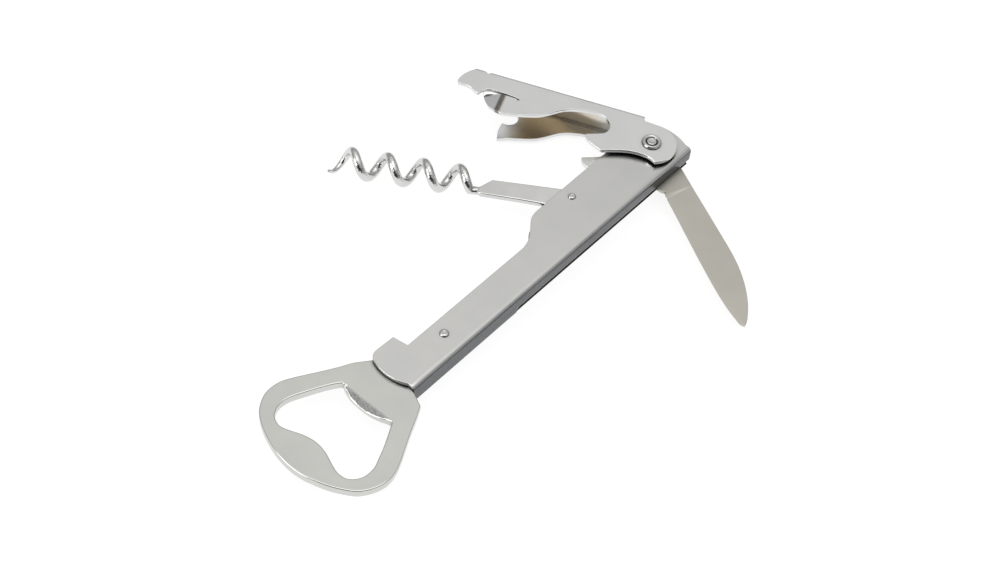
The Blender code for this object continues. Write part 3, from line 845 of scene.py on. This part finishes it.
def floor():
    """White paper that glows softly, as on a light table, so that it shows as an even white."""
    shape = bmesh.new()
    bmesh.ops.create_grid(shape, x_segments=24, y_segments=24, size=3.0)
    mesh = bpy.data.meshes.new("floor")
    shape.to_mesh(mesh)
    shape.free()
    obj = bpy.data.objects.new("floor", mesh)
    obj.location.z = -0.00005
    bpy.context.scene.collection.objects.link(obj)
    material = bpy.data.materials.new("floor_paper")
    material.use_nodes = True
    tree = material.node_tree
    shader = tree.nodes["Principled BSDF"]
    shader.inputs["Roughness"].default_value = 0.9
    shader.inputs["Specular IOR Level"].default_value = 0.1
    noise = tree.nodes.new("ShaderNodeTexNoise")
    noise.inputs["Scale"].default_value = 6.0
    ramp = tree.nodes.new("ShaderNodeValToRGB")
    ramp.color_ramp.elements[0].color = (0.24, 0.24, 0.24, 1)
    ramp.color_ramp.elements[1].color = (0.26, 0.26, 0.26, 1)
    tree.links.new(noise.outputs["Fac"], ramp.inputs["Fac"])
    tree.links.new(ramp.outputs["Color"], shader.inputs["Base Color"])
    shader.inputs["Emission Color"].default_value = (1.0, 1.0, 1.0, 1.0)
    shader.inputs["Emission Strength"].default_value = 0.84
    mesh.materials.append(material)


def softbox(name, at, size, power):
    """A square light that faces the object."""
    data = bpy.data.lights.new(name, "AREA")
    data.size = size
    data.energy = power
    obj = bpy.data.objects.new(name, data)
    obj.location = at
    obj.rotation_euler = (-Vector(at)).to_track_quat("-Z", "Y").to_euler()
    bpy.context.scene.collection.objects.link(obj)


OPEN_SIDE = (-0.80, -0.56, 0.20)


def studio():
    """An even pale room, darker on its open side, as the room in front of a light tent is."""
    world = bpy.data.worlds.new("studio")
    bpy.context.scene.world = world
    world.use_nodes = True
    tree = world.node_tree
    background = tree.nodes["Background"]
    place = tree.nodes.new("ShaderNodeTexCoord")
    toward = tree.nodes.new("ShaderNodeVectorMath")
    toward.operation = "DOT_PRODUCT"
    toward.inputs[1].default_value = Vector(OPEN_SIDE).normalized()
    tree.links.new(place.outputs["Generated"], toward.inputs[0])
    dim = tree.nodes.new("ShaderNodeValToRGB")
    elements = dim.color_ramp.elements
    elements[0].position, elements[0].color = 0.60, (1, 1, 1, 1)
    elements[1].position, elements[1].color = 0.86, (0.12, 0.12, 0.13, 1)
    tree.links.new(toward.outputs["Value"], dim.inputs["Fac"])
    split = tree.nodes.new("ShaderNodeSeparateXYZ")
    tree.links.new(place.outputs["Generated"], split.inputs[0])
    sky = tree.nodes.new("ShaderNodeValToRGB")
    elements = sky.color_ramp.elements
    elements[0].position, elements[0].color = 0.02, (0.34, 0.34, 0.345, 1)
    elements[1].position, elements[1].color = 0.76, (0.90, 0.895, 0.885, 1)
    middle = elements.new(0.58)
    middle.color = (0.50, 0.50, 0.50, 1)
    tree.links.new(split.outputs["Z"], sky.inputs["Fac"])
    both = tree.nodes.new("ShaderNodeMix")
    both.data_type, both.blend_type = "RGBA", "MULTIPLY"
    both.inputs[0].default_value = 1.0
    tree.links.new(sky.outputs["Color"], both.inputs[6])
    tree.links.new(dim.outputs["Color"], both.inputs[7])
    tree.links.new(both.outputs[2], background.inputs["Color"])
    softbox("key", (-1.0, 0.4, 0.5), 0.7, 5.0)
    softbox("fill", (0.0, -0.1, 1.3), 0.95, 2.5)


# The camera's place from the main rivet in metres, and where it points in degrees.
CAMERA_AT = (-0.27703, -0.15229, 0.32829)
BEARING, TILT, ROLL = (math.radians(angle) for angle in (34.57, 50.70, 8.0))


def camera():
    data = bpy.data.cameras.new("camera")
    data.lens = 66.6
    data.sensor_width = 36.0
    obj = bpy.data.objects.new("camera", data)
    low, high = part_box("main_rivet")
    obj.location = (low + high) / 2 + Vector(CAMERA_AT)
    across = math.cos(TILT)
    ahead = Vector((math.cos(BEARING) * across, math.sin(BEARING) * across, -math.sin(TILT)))
    obj.rotation_mode = "QUATERNION"
    obj.rotation_quaternion = ahead.to_track_quat("-Z", "Y") @ Euler((0, 0, ROLL)).to_quaternion()
    data.clip_start, data.clip_end = 0.01, 20.0
    bpy.context.scene.collection.objects.link(obj)
    bpy.context.scene.camera = obj


handle()
opener()
lever()
worm()
knife()
rivets()
hidden_pieces()
floor()
studio()
camera()
bpy.context.scene.view_settings.view_transform = "Standard"
